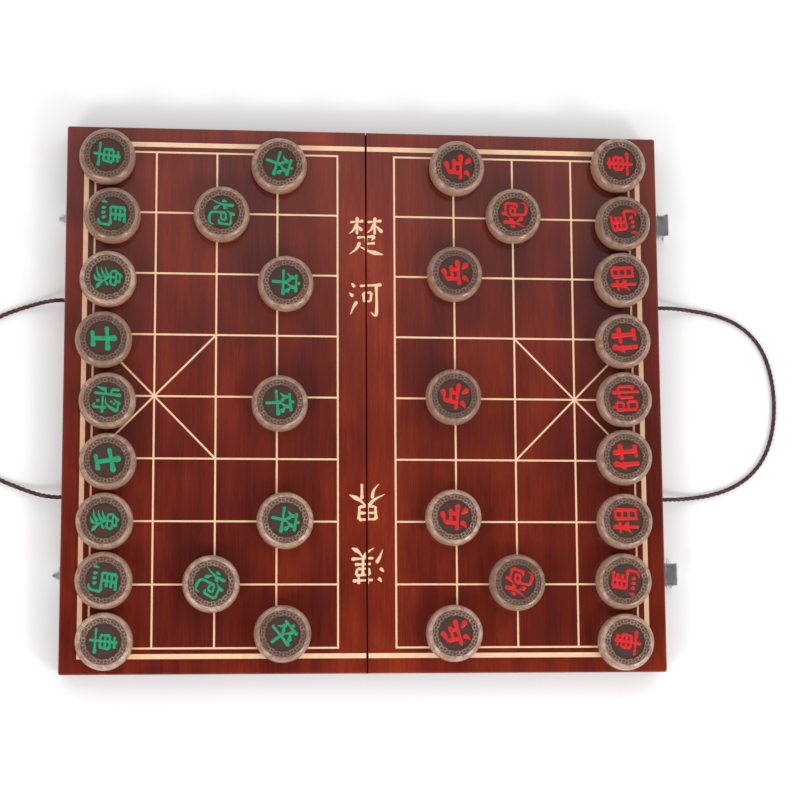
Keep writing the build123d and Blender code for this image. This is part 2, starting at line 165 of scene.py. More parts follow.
# The view: the open board from above, seen from a little to the left and in front.
camera_data = bpy.data.cameras.new("camera")
camera_data.lens = 90
camera = bpy.data.objects.new("camera", camera_data)
camera.location = (-0.1561, -0.2506, 1.79075)
camera.rotation_euler = (radians(8.048106), radians(-5.993148), radians(-0.331105))
bpy.context.scene.collection.objects.link(camera)
bpy.context.scene.camera = camera
bpy.context.scene.view_settings.view_transform = "Standard"


# The studio: a matt white table in a white tent, whose roof is open right above the board.
class Wire:
    """An output of a node. Python's operators lead it on through Math nodes."""

    def __init__(self, finish, socket):
        self.finish, self.socket = finish, socket

    def maths(self, operation, *values):
        return self.finish.add("ShaderNodeMath", {"operation": operation}, dict(enumerate(values)))

    def __add__(self, other):
        return self.maths("ADD", self, other)

    def __sub__(self, other):
        return self.maths("SUBTRACT", self, other)

    def __rsub__(self, other):
        return self.maths("SUBTRACT", other, self)

    def __mul__(self, other):
        return self.maths("MULTIPLY", self, other)

    def __gt__(self, other):
        return self.maths("GREATER_THAN", self, other)

    def __lt__(self, other):
        return self.maths("LESS_THAN", self, other)

    __radd__, __rmul__ = __add__, __mul__

    def sine(self):
        return self.maths("SINE", self)

    def size(self):
        return self.maths("ABSOLUTE", self)

    def maximum(self, other):
        return self.maths("MAXIMUM", self, other)

    def ramp(self, low, high):
        """0 up to low, 1 from high, and smooth between them."""
        span = {"interpolation_type": "SMOOTHSTEP"}
        return self.finish.add("ShaderNodeMapRange", span, {0: self, 1: low, 2: high})


class Finish:
    """A procedural finish: add() makes any node and gives its output as a Wire."""

    def __init__(self, owner):
        owner.use_nodes = True
        self.owner, self.tree = owner, owner.node_tree

    def add(self, kind, settings=None, sockets=None, out=0):
        node = self.tree.nodes.new(kind)
        for name, value in (settings or {}).items():
            if name == "stops":
                self.set_stops(node.color_ramp.elements, value)
            else:
                setattr(node, name, value)
        self.join(node, sockets or {})
        return Wire(self, node.outputs[out])

    def set_stops(self, stops, wanted):
        for position, colour in wanted[1:-1]:
            stops.new(position).color = colour
        stops[0].position, stops[0].color = wanted[0]
        stops[-1].position, stops[-1].color = wanted[-1]

    def join(self, node, sockets):
        for name, value in sockets.items():
            if isinstance(value, Wire):
                self.tree.links.new(value.socket, node.inputs[name])
            else:
                node.inputs[name].default_value = value

    def place(self):
        """Where a point of the surface lies on the board, in metres."""
        return self.add("ShaderNodeTexCoord", out="Object")

    def part(self, vector, axis):
        return self.add("ShaderNodeSeparateXYZ", None, {0: vector}, out=axis)

    def noise(self, vector, scale, detail=2.0, roughness=0.5):
        """Noise that repeats scale times in a metre along X, Y and Z."""
        stretched = self.add("ShaderNodeMapping", None, {"Vector": vector, "Scale": scale})
        sockets = {"Vector": stretched, "Scale": 1.0, "Detail": detail, "Roughness": roughness}
        return self.add("ShaderNodeTexNoise", None, sockets)

    def mix(self, factor, first, second, blend="MIX"):
        settings = {"data_type": "RGBA", "blend_type": blend}
        return self.add("ShaderNodeMix", settings, {0: factor, 6: first, 7: second}, out=2)

    def stained(self, tone, shades):
        """The colour at that tone, of shades given with the tone of each."""
        stops = [(position, rgb(*colour)) for position, colour in shades]
        return self.add("ShaderNodeValToRGB", {"stops": stops}, {0: tone})

    def bump(self, height, depth, strength=1.0):
        return self.add("ShaderNodeBump", None, {"Height": height, "Distance": depth, "Strength": strength})


def rgb(red, green, blue):
    """A colour as it is seen on a screen, 0 to 255, as the shader's linear values."""
    shares = [c / 255 for c in (red, green, blue)]
    return tuple(s / 12.92 if s <= 0.04045 else ((s + 0.055) / 1.055) ** 2.4 for s in shares) + (1.0,)


def new_finish(name, **shader):
    """A material, with the same value all over for each named socket of its shader."""
    finish = Finish(bpy.data.materials.new(name))
    finish.shader = finish.tree.nodes["Principled BSDF"]
    finish.join(finish.shader, {key.replace("_", " "): value for key, value in shader.items()})
    return finish


def new_piece(name, mesh, materials, smooth=False):
    """Puts a bmesh in the scene as an object with those materials."""
    data = bpy.data.meshes.new(name)
    bmesh.ops.recalc_face_normals(mesh, faces=mesh.faces)
    mesh.to_mesh(data)
    mesh.free()
    if smooth:
        data.shade_smooth()
    for material in materials:
        data.materials.append(material)
    piece = bpy.data.objects.new(name, data)
    bpy.context.scene.collection.objects.link(piece)
    return piece


table_size = 12.0
table_glow = 0.3
shadow_reach = 0.04                   # how near to the table a thing darkens it
table_mesh = bmesh.new()
bmesh.ops.create_grid(table_mesh, x_segments=1, y_segments=1, size=table_size / 2)
table_white = new_finish("table_white", Base_Color=rgb(228, 228, 228), Roughness=0.9)
rays = table_white.tree.nodes.new("ShaderNodeLightPath")
seen = Wire(table_white, rays.outputs["Is Camera Ray"])
mirrored = Wire(table_white, rays.outputs["Is Glossy Ray"])
uncovered = table_white.add("ShaderNodeAmbientOcclusion", {"samples": 6}, {"Distance": shadow_reach}, "AO")
table_white.join(table_white.shader, {"Emission Color": rgb(255, 255, 255), "Specular IOR Level": 0.0})
table_white.join(table_white.shader, {"Emission Strength": table_glow * seen.maximum(mirrored) * uncovered})
table = new_piece("table", table_mesh, [table_white.owner])
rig.stage(table)

wall_glow, far_glow, roof_glow = 0.7, 1.0, 0.02
right_share, near_share = 0.3, 0.35   # how much brighter the right and the near wall are
open_roof = (0.82, 0.95)              # how steep a line of sight is where the roof ends
far_roof = (0.09, 0.32)               # and on the far side, how far it leans that way
world = bpy.data.worlds.new("tent")
bpy.context.scene.world = world
tent = Finish(world)
toward = tent.add("ShaderNodeTexCoord", out="Generated")
x, y, z = (tent.part(toward, axis) for axis in range(3))
walls = (1 - z.ramp(*open_roof)) * (x * right_share - y * near_share + 1)
glow = roof_glow + (far_glow * y.ramp(*far_roof)).maximum(wall_glow * walls)
tent.join(tent.tree.nodes["Background"], {"Color": rgb(255, 255, 255), "Strength": glow})


def soft_box(name, place, size, watts):
    """A square studio lamp that faces the middle of the board."""
    lamp = bpy.data.lights.new(name, "AREA")
    lamp.size, lamp.energy = size, watts
    holder = bpy.data.objects.new(name, lamp)
    holder.location = place
    holder.rotation_euler = (-Vector(place)).to_track_quat("-Z", "Y").to_euler()
    bpy.context.scene.collection.objects.link(holder)


soft_box("right_lamp", (1.25, -1.35, 1.5), 0.5, 14)
soft_box("left_lamp", (-1.25, -1.35, 1.5), 0.6, 12.5)


# Rope handles: two thick cords that run out of one hole, round on the table and into the
# next. Three strands are laid round each other: nearly black, dark brown and dark red.
mm = 0.001
rope_radius = 2.0 * mm
strand_radius = rope_radius / 2.155   # three touching strands fill the rope's round section
strand_offset = rope_radius - strand_radius
strand_sides = 10
rope_lay = 15.0 * mm                  # one full turn of a strand
threads_along, threads_round = 4200, 3   # of a strand: radians in a metre, and turns round it
line_step = 1.2 * mm
rope_hole_offset, rope_hole_height, wall_inside = 88.5, 14.0, 258.5
rope_routes = {
    "right": [
        (wall_inside, rope_hole_offset, rope_hole_height), (276, rope_hole_offset, rope_hole_height),
        (292, 89.2, 6.6), (308, 87.9, 2.7), (327, 84.8, 2.2), (346, 78, 2.2), (362, 66, 2.2),
        (373.5, 49, 2.2), (380, 26, 2.2), (382, 0, 2.2), (379, -26, 2.2), (371, -48, 2.2),
        (357.5, -65, 2.2), (340, -76.5, 2.2), (321, -83, 2.2), (303, -86, 2.8), (288.5, -87.6, 7),
        (275.5, -rope_hole_offset, rope_hole_height), (wall_inside, -rope_hole_offset, rope_hole_height),
    ],
    "left": [
        (-wall_inside, rope_hole_offset, rope_hole_height), (-275.5, rope_hole_offset, rope_hole_height),
        (-290, 87, 6.4), (-305, 83, 2.7), (-323, 76.5, 2.2), (-340, 67, 2.2), (-354, 54, 2.2),
        (-363.5, 37, 2.2), (-368.5, 16, 2.2), (-369, -7, 2.2), (-364.5, -29, 2.2), (-355.5, -47, 2.2),
        (-342, -61, 2.2), (-326, -71, 2.2), (-309, -78, 2.7), (-293.5, -84, 6.6),
        (-277, -rope_hole_offset, rope_hole_height), (-wall_inside, -rope_hole_offset, rope_hole_height),
    ],
}


def strand_finish(name, colour, thread_colour):
    """Matt cord: thin threads wound round the strand, with a sheen and fluff between them."""
    finish = new_finish(name, Roughness=0.8, Sheen_Weight=0.4, Sheen_Roughness=0.5)
    along = finish.add("ShaderNodeUVMap", {"uv_map": "along"})
    winding = finish.part(along, 0) * threads_along + finish.part(along, 1) * 2 * pi * threads_round
    thread = winding.sine() * 0.5 + 0.5
    fluff = finish.noise(finish.place(), (900, 900, 900), 3.0)
    colour_here = finish.mix(thread * 0.6 + fluff * 0.4, rgb(*colour), rgb(*thread_colour))
    finish.join(finish.shader, {"Base Color": colour_here, "Normal": finish.bump(thread, 0.08 * mm)})
    return finish.owner


strand_finishes = [
    strand_finish("dark_strand", (22, 13, 12), (52, 32, 28)),
    strand_finish("red_strand", (72, 16, 15), (122, 34, 30)),
    strand_finish("brown_strand", (38, 18, 15), (78, 40, 32)),
]


def smooth_line(points):
    """The line of a smooth curve that has these points as its controls, in metres."""
    curve = bpy.data.curves.new("route", "CURVE")
    curve.dimensions = "3D"
    spline = curve.splines.new("NURBS")
    spline.points.add(len(points) - 1)
    for point, place in zip(spline.points, points):
        point.co = (*(c * mm for c in place), 1.0)
    spline.order_u = 3
    spline.use_endpoint_u = True
    curve.resolution_u = 24
    holder = bpy.data.objects.new("route", curve)
    mesh = bpy.data.meshes.new_from_object(holder)
    line = [v.co.copy() for v in mesh.vertices]
    bpy.data.meshes.remove(mesh)
    bpy.data.objects.remove(holder)
    return line


def length_of(line):
    return sum((here - before).length for before, here in zip(line, line[1:]))


def walk(line, distances):
    """The points at these distances along a line, from its start."""
    points, i, passed = [], 0, 0.0
    for distance in distances:
        run = (line[i + 1] - line[i]).length
        while i < len(line) - 2 and passed + run < distance:
            passed += run
            i += 1
            run = (line[i + 1] - line[i]).length
        points.append(line[i].lerp(line[i + 1], (distance - passed) / run))
    return points


def evenly(line, step):
    """Points about a step apart on a line, with the distance of each from its start."""
    total = length_of(line)
    count = max(2, round(total / step))
    distances = [total * k / count for k in range(count + 1)]
    return walk(line, distances), distances


def directions(line, across):
    """For each point of a line: two directions square to it, which don't twist along it."""
    for i in range(len(line)):
        ahead = (line[min(i + 1, len(line) - 1)] - line[max(i - 1, 0)]).normalized()
        across = (across - ahead * across.dot(ahead)).normalized()
        yield across.copy(), ahead.cross(across)


def add_strand(mesh, line, distances, material_index):
    """A strand as a tube along the line; its uv runs in metres along it and once round it."""
    uv = mesh.loops.layers.uv.get("along") or mesh.loops.layers.uv.new("along")
    rings = []
    for point, (across, up) in zip(line, directions(line, (line[1] - line[0]).orthogonal())):
        turns = [2 * pi * k / strand_sides for k in range(strand_sides)]
        rings.append([mesh.verts.new(point + strand_radius * (across * cos(t) + up * sin(t))) for t in turns])
    for i, (ring, after) in enumerate(zip(rings, rings[1:])):
        for k in range(strand_sides):
            j = (k + 1) % strand_sides
            face = mesh.faces.new((ring[k], ring[j], after[j], after[k]))
            face.material_index = material_index
            for loop, (row, column) in zip(face.loops, ((i, k), (i, k + 1), (i + 1, k + 1), (i + 1, k))):
                loop[uv].uv = (distances[row], column / strand_sides)
    for ring in (rings[0][::-1], rings[-1]):
        mesh.faces.new(ring).material_index = material_index


def add_rope(mesh, line, distances):
    """Three strands that wind round the line."""
    frames = list(directions(line, Vector((0, 0, 1))))
    for k in range(3):
        path = []
        for point, distance, (across, up) in zip(line, distances, frames):
            turn = 2 * pi * (distance / rope_lay + k / 3)
            path.append(point + strand_offset * (across * cos(turn) + up * sin(turn)))
        add_strand(mesh, path, distances, k)


# Inside the wall each rope ends in a knot of three leads and five bights, woven round it
# from one of its strands, so that it can't slip back through the hole.
knot_length = 8.0 * mm
knot_leads, knot_bights, knot_steps = 3, 5, 150
knot_weave = 0.95 * mm                # how far the strand goes in and out where it crosses
knot_middle = rope_radius + knot_weave + strand_radius


def add_knot(mesh, mouth, inward):
    """The rope's last stretch from the hole's mouth, and the knot woven round it."""
    end_line, end_distances = evenly([mouth, mouth + inward * knot_length], line_step)
    add_rope(mesh, end_line, end_distances)
    reach = knot_length / 2 - strand_radius
    middle = mouth + inward * knot_length / 2
    path = []
    for i in range(knot_steps + 1):
        t = 2 * pi * i / knot_steps
        radius = knot_middle + knot_weave * sin(2 * knot_bights * t)
        across = Vector((0, cos(knot_leads * t), sin(knot_leads * t)))
        path.append(middle + inward * reach * cos(knot_bights * t) + across * radius)
    lengths = [i * 2 * pi * knot_leads * knot_middle / knot_steps for i in range(knot_steps + 1)]
    add_strand(mesh, path, lengths, 1)


for side in ("left", "right"):
    rope_line, rope_distances = evenly(smooth_line(rope_routes[side]), line_step)
    rope_mesh, knots_mesh = bmesh.new(), bmesh.new()
    add_rope(rope_mesh, rope_line, rope_distances)
    for mouth in (rope_line[0], rope_line[-1]):
        add_knot(knots_mesh, mouth, Vector((-1 if mouth.x > 0 else 1, 0, 0)))
    rope = new_piece(f"{side}_rope", rope_mesh, strand_finishes, smooth=True)
    knots = new_piece(f"{side}_knots", knots_mesh, strand_finishes, smooth=True)
    for piece, node in ((rope, "rope_handle"), (knots, "rope_knots")):
        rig.replaces(piece, f"{side}_{node}")
        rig.ride(piece, f"{side}_half")
        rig.slot(piece, "rope")
    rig.cord(
        rope, exit=rope_line[0], length=rope_distances[-1], diameter=2 * rope_radius, far_end="object",
        stiffness="limp", lay="loose", path=rope_line, with_pieces=[knots],
    )

# Board panels: two flat boards with a dark red-brown veneer whose grain runs along the seam,
# stained a little unevenly and sprayed with several coats of clear lacquer.
AXIS_X, AXIS_Y, AXIS_Z = 0, 1, 2
wood_shades = [(0.28, (79, 28, 24)), (0.42, (96, 32, 24)), (0.54, (109, 36, 23)), (0.70, (128, 44, 27))]
edge_shades = [(0.28, (94, 31, 23)), (0.42, (114, 37, 24)), (0.54, (128, 42, 25)), (0.70, (148, 53, 31))]
wood_contrast = 1.75
seam_fade = (14 * mm, 44 * mm)        # the colour is redder and lighter beside the seam,
margin_x = (251 * mm, 258 * mm)       # and a little so in the outer margins
margin_y = (229 * mm, 235 * mm)
margin_share = 0.6
pore_levels = (0.62, 0.74)            # of the noise, where a pore begins and where it is deep
pore_share = 0.35
bare_seam = 0.6 * mm                  # the faces that meet in the seam have no lacquer


def stretched(across, along, axis):
    """How often a noise repeats in a metre, across the grain and along it, from two sizes in mm."""
    scale = [1 / (across * mm)] * 3
    scale[axis] = 1 / (along * mm)
    return tuple(scale)


def lacquered_wood(name, grain):
    """Stained veneer whose grain runs along that axis, under clear lacquer."""
    finish = new_finish(name, Roughness=0.5, Specular_IOR_Level=0.0, Coat_Roughness=0.16, Coat_IOR=1.5)
    place = finish.place()
    clouds = finish.noise(place, stretched(48, 90, grain), 2.0)
    bands = finish.noise(place, stretched(11, 420, grain), 2.0)
    fibres = finish.noise(place, stretched(1.5, 32, grain), 3.0, 0.6)
    pores = finish.noise(place, stretched(0.5, 6, grain), 1.0)
    figure = clouds * 0.44 + bands * 0.2 + fibres * 0.24 + pores * 0.12
    tone = (figure - 0.5) * wood_contrast + 0.5
    x, y = finish.part(place, AXIS_X).size(), finish.part(place, AXIS_Y).size()
    margin = x.ramp(*margin_x).maximum(y.ramp(*margin_y)) * margin_share
    inner = x.ramp(*seam_fade) - margin
    colour = finish.mix(inner, finish.stained(tone, edge_shades), finish.stained(tone, wood_shades))
    open_pores = pores.ramp(*pore_levels)
    finish.join(finish.shader, {
        "Base Color": finish.mix(open_pores * pore_share, colour, rgb(50, 16, 13)),
        "Normal": finish.bump(fibres * 0.4 - open_pores, 0.05 * mm, 0.5),
        "Coat Weight": x > bare_seam,
    })
    return finish.owner


def dress(names, material):
    """Gives CAD pieces their finish."""
    for name in names:
        for slot in frame["nodes"][name].material_slots:
            slot.material = material


sides, ends = ("left", "right"), ("far", "near")
board_wood = lacquered_wood("board_wood", AXIS_Y)
dress([f"{side}_board_panel" for side in sides], board_wood)

# Walls: solid wood of the same colour under the panels, glued and butted at the corners,
# with the grain running along each wall.
dress([f"{side}_{wall}_wall" for side in sides for wall in ("hinge", "latch")], board_wood)
end_wall_wood = lacquered_wood("end_wall_wood", AXIS_X)
dress([f"{side}_{end}_wall" for side in sides for end in ends], end_wall_wood)

# Board print: the grid, palaces and border in thick cream ink under the last coat of
# lacquer. The rules and the wide border stand out from the veneer by the ink's thickness.
river_width, rank_pitch, file_pitch = 51.4 * mm, 54.1 * mm, 55.25 * mm
ranks, files_each_way = 5, 4
line_width, border_width = 1.65 * mm, 4.3 * mm
border_x, border_y = 250.0 * mm, 228.0 * mm
ink_thickness, ink_depth, ink_step = 0.05 * mm, 0.1 * mm, 0.008 * mm
seam_edge = 1.05 * mm                 # where a panel's top ends at the seam
board_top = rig.box("left_board_panel")[1][2]


def cream_ink():
    """Thick printing ink that took up a little more or less of its pigment from place to place."""
    finish = new_finish(
        "cream_ink", Roughness=0.5, Specular_IOR_Level=0.2, Coat_Weight=0.6, Coat_Roughness=0.16,
    )
    uneven = finish.noise(finish.place(), (160, 160, 160), 4.0)
    finish.join(finish.shader, {"Base Color": finish.mix(uneven, rgb(242, 196, 150), rgb(255, 222, 184))})
    return finish.owner


def add_cells(mesh, columns, rows, filled, place, ring=False):
    """A slab over the filled cells of a grid; place(column, row, top) gives its corners."""
    corners = {}

    def corner(column, row, top):
        key = (column % columns if ring else column, row, top)
        if key not in corners:
            corners[key] = mesh.verts.new(place(*key))
        return corners[key]

    def is_filled(column, row):
        column = column % columns if ring else column
        return 0 <= column < columns and 0 <= row < rows and filled(column, row)

    for row in range(rows):
        for column in range(columns):
            if not is_filled(column, row):
                continue
            loop = [(column, row), (column + 1, row), (column + 1, row + 1), (column, row + 1)]
            beside = [(column, row - 1), (column + 1, row), (column, row + 1), (column - 1, row)]
            mesh.faces.new([corner(*c, True) for c in loop])
            mesh.faces.new([corner(*c, False) for c in reversed(loop)])
            for start, end, neighbour in zip(loop, loop[1:] + loop[:1], beside):
                if not is_filled(*neighbour):
                    side_wall = [(start, False), (end, False), (end, True), (start, True)]
                    mesh.faces.new([corner(*c, top) for c, top in side_wall])


def add_rules(mesh, boxes, low, high):
    """One slab that covers all the boxes (x0, y0, x1, y1)."""
    xs = sorted({x for box in boxes for x in (box[0], box[2])})
    ys = sorted({y for box in boxes for y in (box[1], box[3])})

    def filled(column, row):
        x, y = (xs[column] + xs[column + 1]) / 2, (ys[row] + ys[row + 1]) / 2
        return any(x0 < x < x1 and y0 < y < y1 for x0, y0, x1, y1 in boxes)

    def place(column, row, top):
        return xs[column], ys[row], high if top else low

    add_cells(mesh, len(xs) - 1, len(ys) - 1, filled, place)


def rule(x0, y0, x1, y1, width):
    """The box of a rule along X or Y from one place to the other, with square ends."""
    w = width / 2
    return min(x0, x1) - w, min(y0, y1) - w, max(x0, x1) + w, max(y0, y1) + w


def add_slanted_rule(mesh, start, end, low, high):
    """A rule of a palace's cross, with its ends cut square."""
    along = (end - start).normalized()
    across = Vector((-along.y, along.x)) * line_width / 2
    base = [start - across, end - across, end + across, start + across]
    lower = [mesh.verts.new((*p, low)) for p in base]
    upper = [mesh.verts.new((*p, high)) for p in base]
    mesh.faces.new(lower[::-1])
    mesh.faces.new(upper)
    for i in range(4):
        mesh.faces.new((lower[i], lower[(i + 1) % 4], upper[(i + 1) % 4], upper[i]))


ink = cream_ink()
file_reach = files_each_way * file_pitch
for side, sx in (("left", -1), ("right", 1)):
    rank_xs = [sx * (river_width / 2 + k * rank_pitch) for k in range(ranks)]
    boxes = [rule(x, -file_reach, x, file_reach, line_width) for x in rank_xs]
    for j in range(-files_each_way, files_each_way + 1):
        boxes.append(rule(rank_xs[0], j * file_pitch, rank_xs[-1], j * file_pitch, line_width))
    boxes.append(rule(sx * border_x, -border_y, sx * border_x, border_y, border_width))
    for y in (-border_y, border_y):
        x0, y0, x1, y1 = rule(sx * seam_edge, y, sx * border_x, y, border_width)
        boxes.append((max(x0, seam_edge), y0, x1, y1) if sx > 0 else (x0, y0, min(x1, -seam_edge), y1))
    grid_mesh = bmesh.new()
    low, high = board_top - ink_depth, board_top + ink_thickness
    add_rules(grid_mesh, boxes, low, high)
    for i, sy in enumerate((-1, 1)):
        start = Vector((rank_xs[2], sy * file_pitch))
        end = Vector((rank_xs[4], -sy * file_pitch))
        add_slanted_rule(grid_mesh, start, end, low, high - (i + 1) * ink_step)
    grid = new_piece(f"{side}_printed_grid", grid_mesh, [ink])
    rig.ride(grid, f"{side}_half")
    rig.slot(grid, "inlay")

# River marks: the name of the river between the two sides, brushed in the same cream ink
# over the seam. The two far marks are read from the near end, the two near ones from the
# far end, and each half carries its part of every mark.
glyph_box = 100                       # units across the square that each glyph is drawn in
brush_widths = {                      # of the brush along a stroke, from its start to its end
    "bar": (0.9, 0.62, 0.72, 1.25), "post": (1.3, 0.85, 0.8, 0.9), "sweep": (1.25, 1.0, 0.6, 0.2),
    "press": (0.35, 0.75, 1.5, 0.25), "dot": (0.35, 1.0, 1.35), "hook": (1.15, 0.8, 0.85, 1.15, 0.25),
}
stroke_section = ((-1.0, -0.3), (-0.84, 0.72), (0.0, 1.0), (0.84, 0.72), (1.0, -0.3))
stroke_step = 1.4 * mm
curve_steps = 24
cap_turns = (8, 30, 52, 72, 90)       # degrees round a stroke's end at which it gets a ring
stroke_rise = 0.03                    # of its height, by which a stroke stands above the last one


def curve_through(points):
    """A smooth line through all the points."""
    line, last = [], len(points) - 1
    for i in range(curve_steps + 1):
        span = min(int(i * last / curve_steps), last - 1)
        u = i * last / curve_steps - span
        a, b, c, d = (points[min(max(k, 0), last)] for k in range(span - 1, span + 3))
        bends = (2 * a - 5 * b + 4 * c - d) * u + (3 * b - a - 3 * c + d) * u * u
        line.append(b + (c - a + bends) * u / 2)
    return line


def add_stroke(mesh, kind, points, pen, height):
    """One brush stroke: a low dome with round ends that swells and thins like a brush's."""
    line = curve_through(points)
    widths, total = brush_widths[kind], length_of(line)
    caps = [pen * w / 2 for w in (widths[0], widths[-1])]
    bends = [1 - cos(radians(turn)) for turn in cap_turns]
    middle_steps = max(2, round((total - sum(caps)) / stroke_step))
    middle = [caps[0] + (total - sum(caps)) * k / middle_steps for k in range(1, middle_steps)]
    distances = [caps[0] * b for b in bends] + middle + [total - caps[1] * b for b in reversed(bends)]
    line = walk(line, distances)
    rings = []
    for point, distance, (up, across) in zip(line, distances, directions(line, Vector((0, 0, 1)))):
        share = distance / total * (len(widths) - 1)
        i = min(int(share), len(widths) - 2)
        half = pen / 2 * (widths[i] + (widths[i + 1] - widths[i]) * (share - i))
        from_ends = (distance / caps[0], (total - distance) / caps[1])
        rounding = min((1 - (1 - min(e, 1)) ** 2) ** 0.5 for e in from_ends)
        ring = [point + across * half * rounding * a + up * height * b for a, b in stroke_section]
        rings.append([mesh.verts.new(p) for p in ring])
    for ring, after in zip(rings, rings[1:]):
        for k in range(len(ring)):
            j = (k + 1) % len(ring)
            mesh.faces.new((ring[k], ring[j], after[j], after[k]))
    mesh.faces.new(rings[0][::-1])
    mesh.faces.new(rings[-1])


def brushed(strokes, size, pen, height):
    """All the strokes of a glyph, drawn round the origin and as large as the size says."""
    mesh = bmesh.new()
    for i, (kind, *places) in enumerate(strokes):
        points = [Vector((x / glyph_box - 0.5, y / glyph_box - 0.5, 0)) for x, y in places]
        points = [Vector((p.x * size[0], p.y * size[1], 0)) for p in points]
        add_stroke(mesh, kind, points, pen, height * (1 + stroke_rise * (i % 5)))
    return mesh


water = [
    ("dot", (8, 94), (18, 82)), ("dot", (2, 66), (13, 55)), ("sweep", (24, 42), (12, 22), (5, 4)),
]
river_marks = [                       # strokes, middle, size and quarter turns
    ([
        ("bar", (8, 86), (44, 90)), ("post", (27, 100), (26, 54)), ("sweep", (26, 82), (17, 66), (5, 56)),
        ("dot", (29, 76), (40, 64)), ("bar", (54, 87), (92, 91)), ("post", (74, 100), (73, 54)),
        ("sweep", (73, 84), (64, 68), (52, 58)), ("dot", (76, 78), (94, 60)), ("bar", (26, 46), (74, 50)),
        ("sweep", (74, 50), (64, 38)), ("post", (50, 48), (50, 14)), ("bar", (52, 30), (74, 32)),
        ("sweep", (34, 34), (24, 16), (6, 2)), ("press", (34, 22), (60, 10), (96, 2)),
    ], (0.0, 147.4), (34, 35), 0),
    ([
        *water, ("bar", (32, 86), (96, 90)), ("post", (42, 66), (45, 40)), ("bar", (42, 66), (66, 68)),
        ("post", (66, 68), (63, 42)), ("bar", (46, 42), (63, 43)), ("hook", (80, 88), (80, 6), (64, 12)),
    ], (-0.2, 90.1), (31, 32), 0),
    ([
        ("post", (28, 96), (30, 60)), ("bar", (28, 95), (72, 97)), ("post", (72, 97), (70, 60)),
        ("bar", (31, 78), (69, 79)), ("post", (50, 95), (50, 60)), ("bar", (31, 61), (70, 62)),
        ("sweep", (48, 62), (34, 44), (6, 28)), ("press", (52, 62), (70, 44), (96, 30)),
        ("sweep", (38, 40), (34, 18), (20, 0)), ("post", (64, 42), (64, 0)),
    ], (0.5, -93.3), (35, 33), 2),
    ([
        *water, ("bar", (34, 88), (94, 91)), ("post", (50, 100), (50, 80)), ("post", (76, 100), (76, 80)),
        ("post", (44, 74), (46, 56)), ("bar", (44, 74), (84, 76)), ("post", (84, 76), (80, 57)),
        ("bar", (46, 57), (80, 58)), ("bar", (40, 44), (88, 46)), ("bar", (32, 28), (98, 31)),
        ("post", (64, 76), (63, 28)), ("sweep", (62, 28), (50, 12), (30, 0)),
        ("press", (64, 26), (78, 10), (97, 0)),
    ], (0.4, -149.6), (30, 32), 2),
]
river_pen, river_ink_height = 2.9 * mm, 0.07 * mm

for side, sx in (("left", -1), ("right", 1)):
    marks_mesh = bmesh.new()
    for strokes, middle, size, quarters in river_marks:
        mark = brushed(strokes, [s * mm for s in size], river_pen, river_ink_height)
        place = Matrix.Translation((middle[0] * mm, middle[1] * mm, board_top))
        mark.transform(place @ Matrix.Rotation(quarters * pi / 2, 4, "Z"))
        geometry = [*mark.verts, *mark.edges, *mark.faces]
        bmesh.ops.bisect_plane(
            mark, geom=geometry, plane_co=(sx * seam_edge, 0, 0), plane_no=(-sx, 0, 0), clear_outer=True,
        )
        bmesh.ops.holes_fill(mark, edges=[e for e in mark.edges if e.is_boundary], sides=0)
        part = bpy.data.meshes.new("mark")
        mark.to_mesh(part)
        mark.free()
        marks_mesh.from_mesh(part)
        bpy.data.meshes.remove(part)
    marks = new_piece(f"{side}_river_marks", marks_mesh, [ink])
    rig.ride(marks, f"{side}_half")
    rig.slot(marks, "inlay")

# Game pieces: each turned from its own close-grained taupe wood and polished. A band round the
# face is carved with a key pattern, and the sunk middle is stained dark and carries the piece's
# sign in raised paint, green on one side and red on the other.
man_thickness, band_sink, recess_sink = 18.5 * mm, 0.5 * mm, 1.3 * mm
band_outer, band_inner = 20.0 * mm, 15.1 * mm
key_height, key_root = 0.4 * mm, 0.02 * mm
key_units = 18                        # repeats of the pattern round the band
key_rows = [                          # one repeat, from the outer edge of the band inwards
    "............",
    "#######.....",
    "#.....#.....",
    "#.....######",
    "#.....#.....",
    "#.....#.....",
    "#.....#.....",
    "#######.....",
    "#.....#.....",
    "#.....######",
    "............",
]
sign_size, sign_height = 25.0 * mm, 0.35 * mm
sign_pens = {
    "green": {
        "advisor": 5.2, "general": 2.9, "elephant": 2.7, "soldier": 3.4, "chariot": 3.0, "horse": 3.1,
        "cannon": 2.8,
    },
    "red": {
        "advisor": 5.2, "general": 3.3, "elephant": 3.5, "soldier": 4.5, "chariot": 3.4, "horse": 3.4,
        "cannon": 3.2,
    },
}
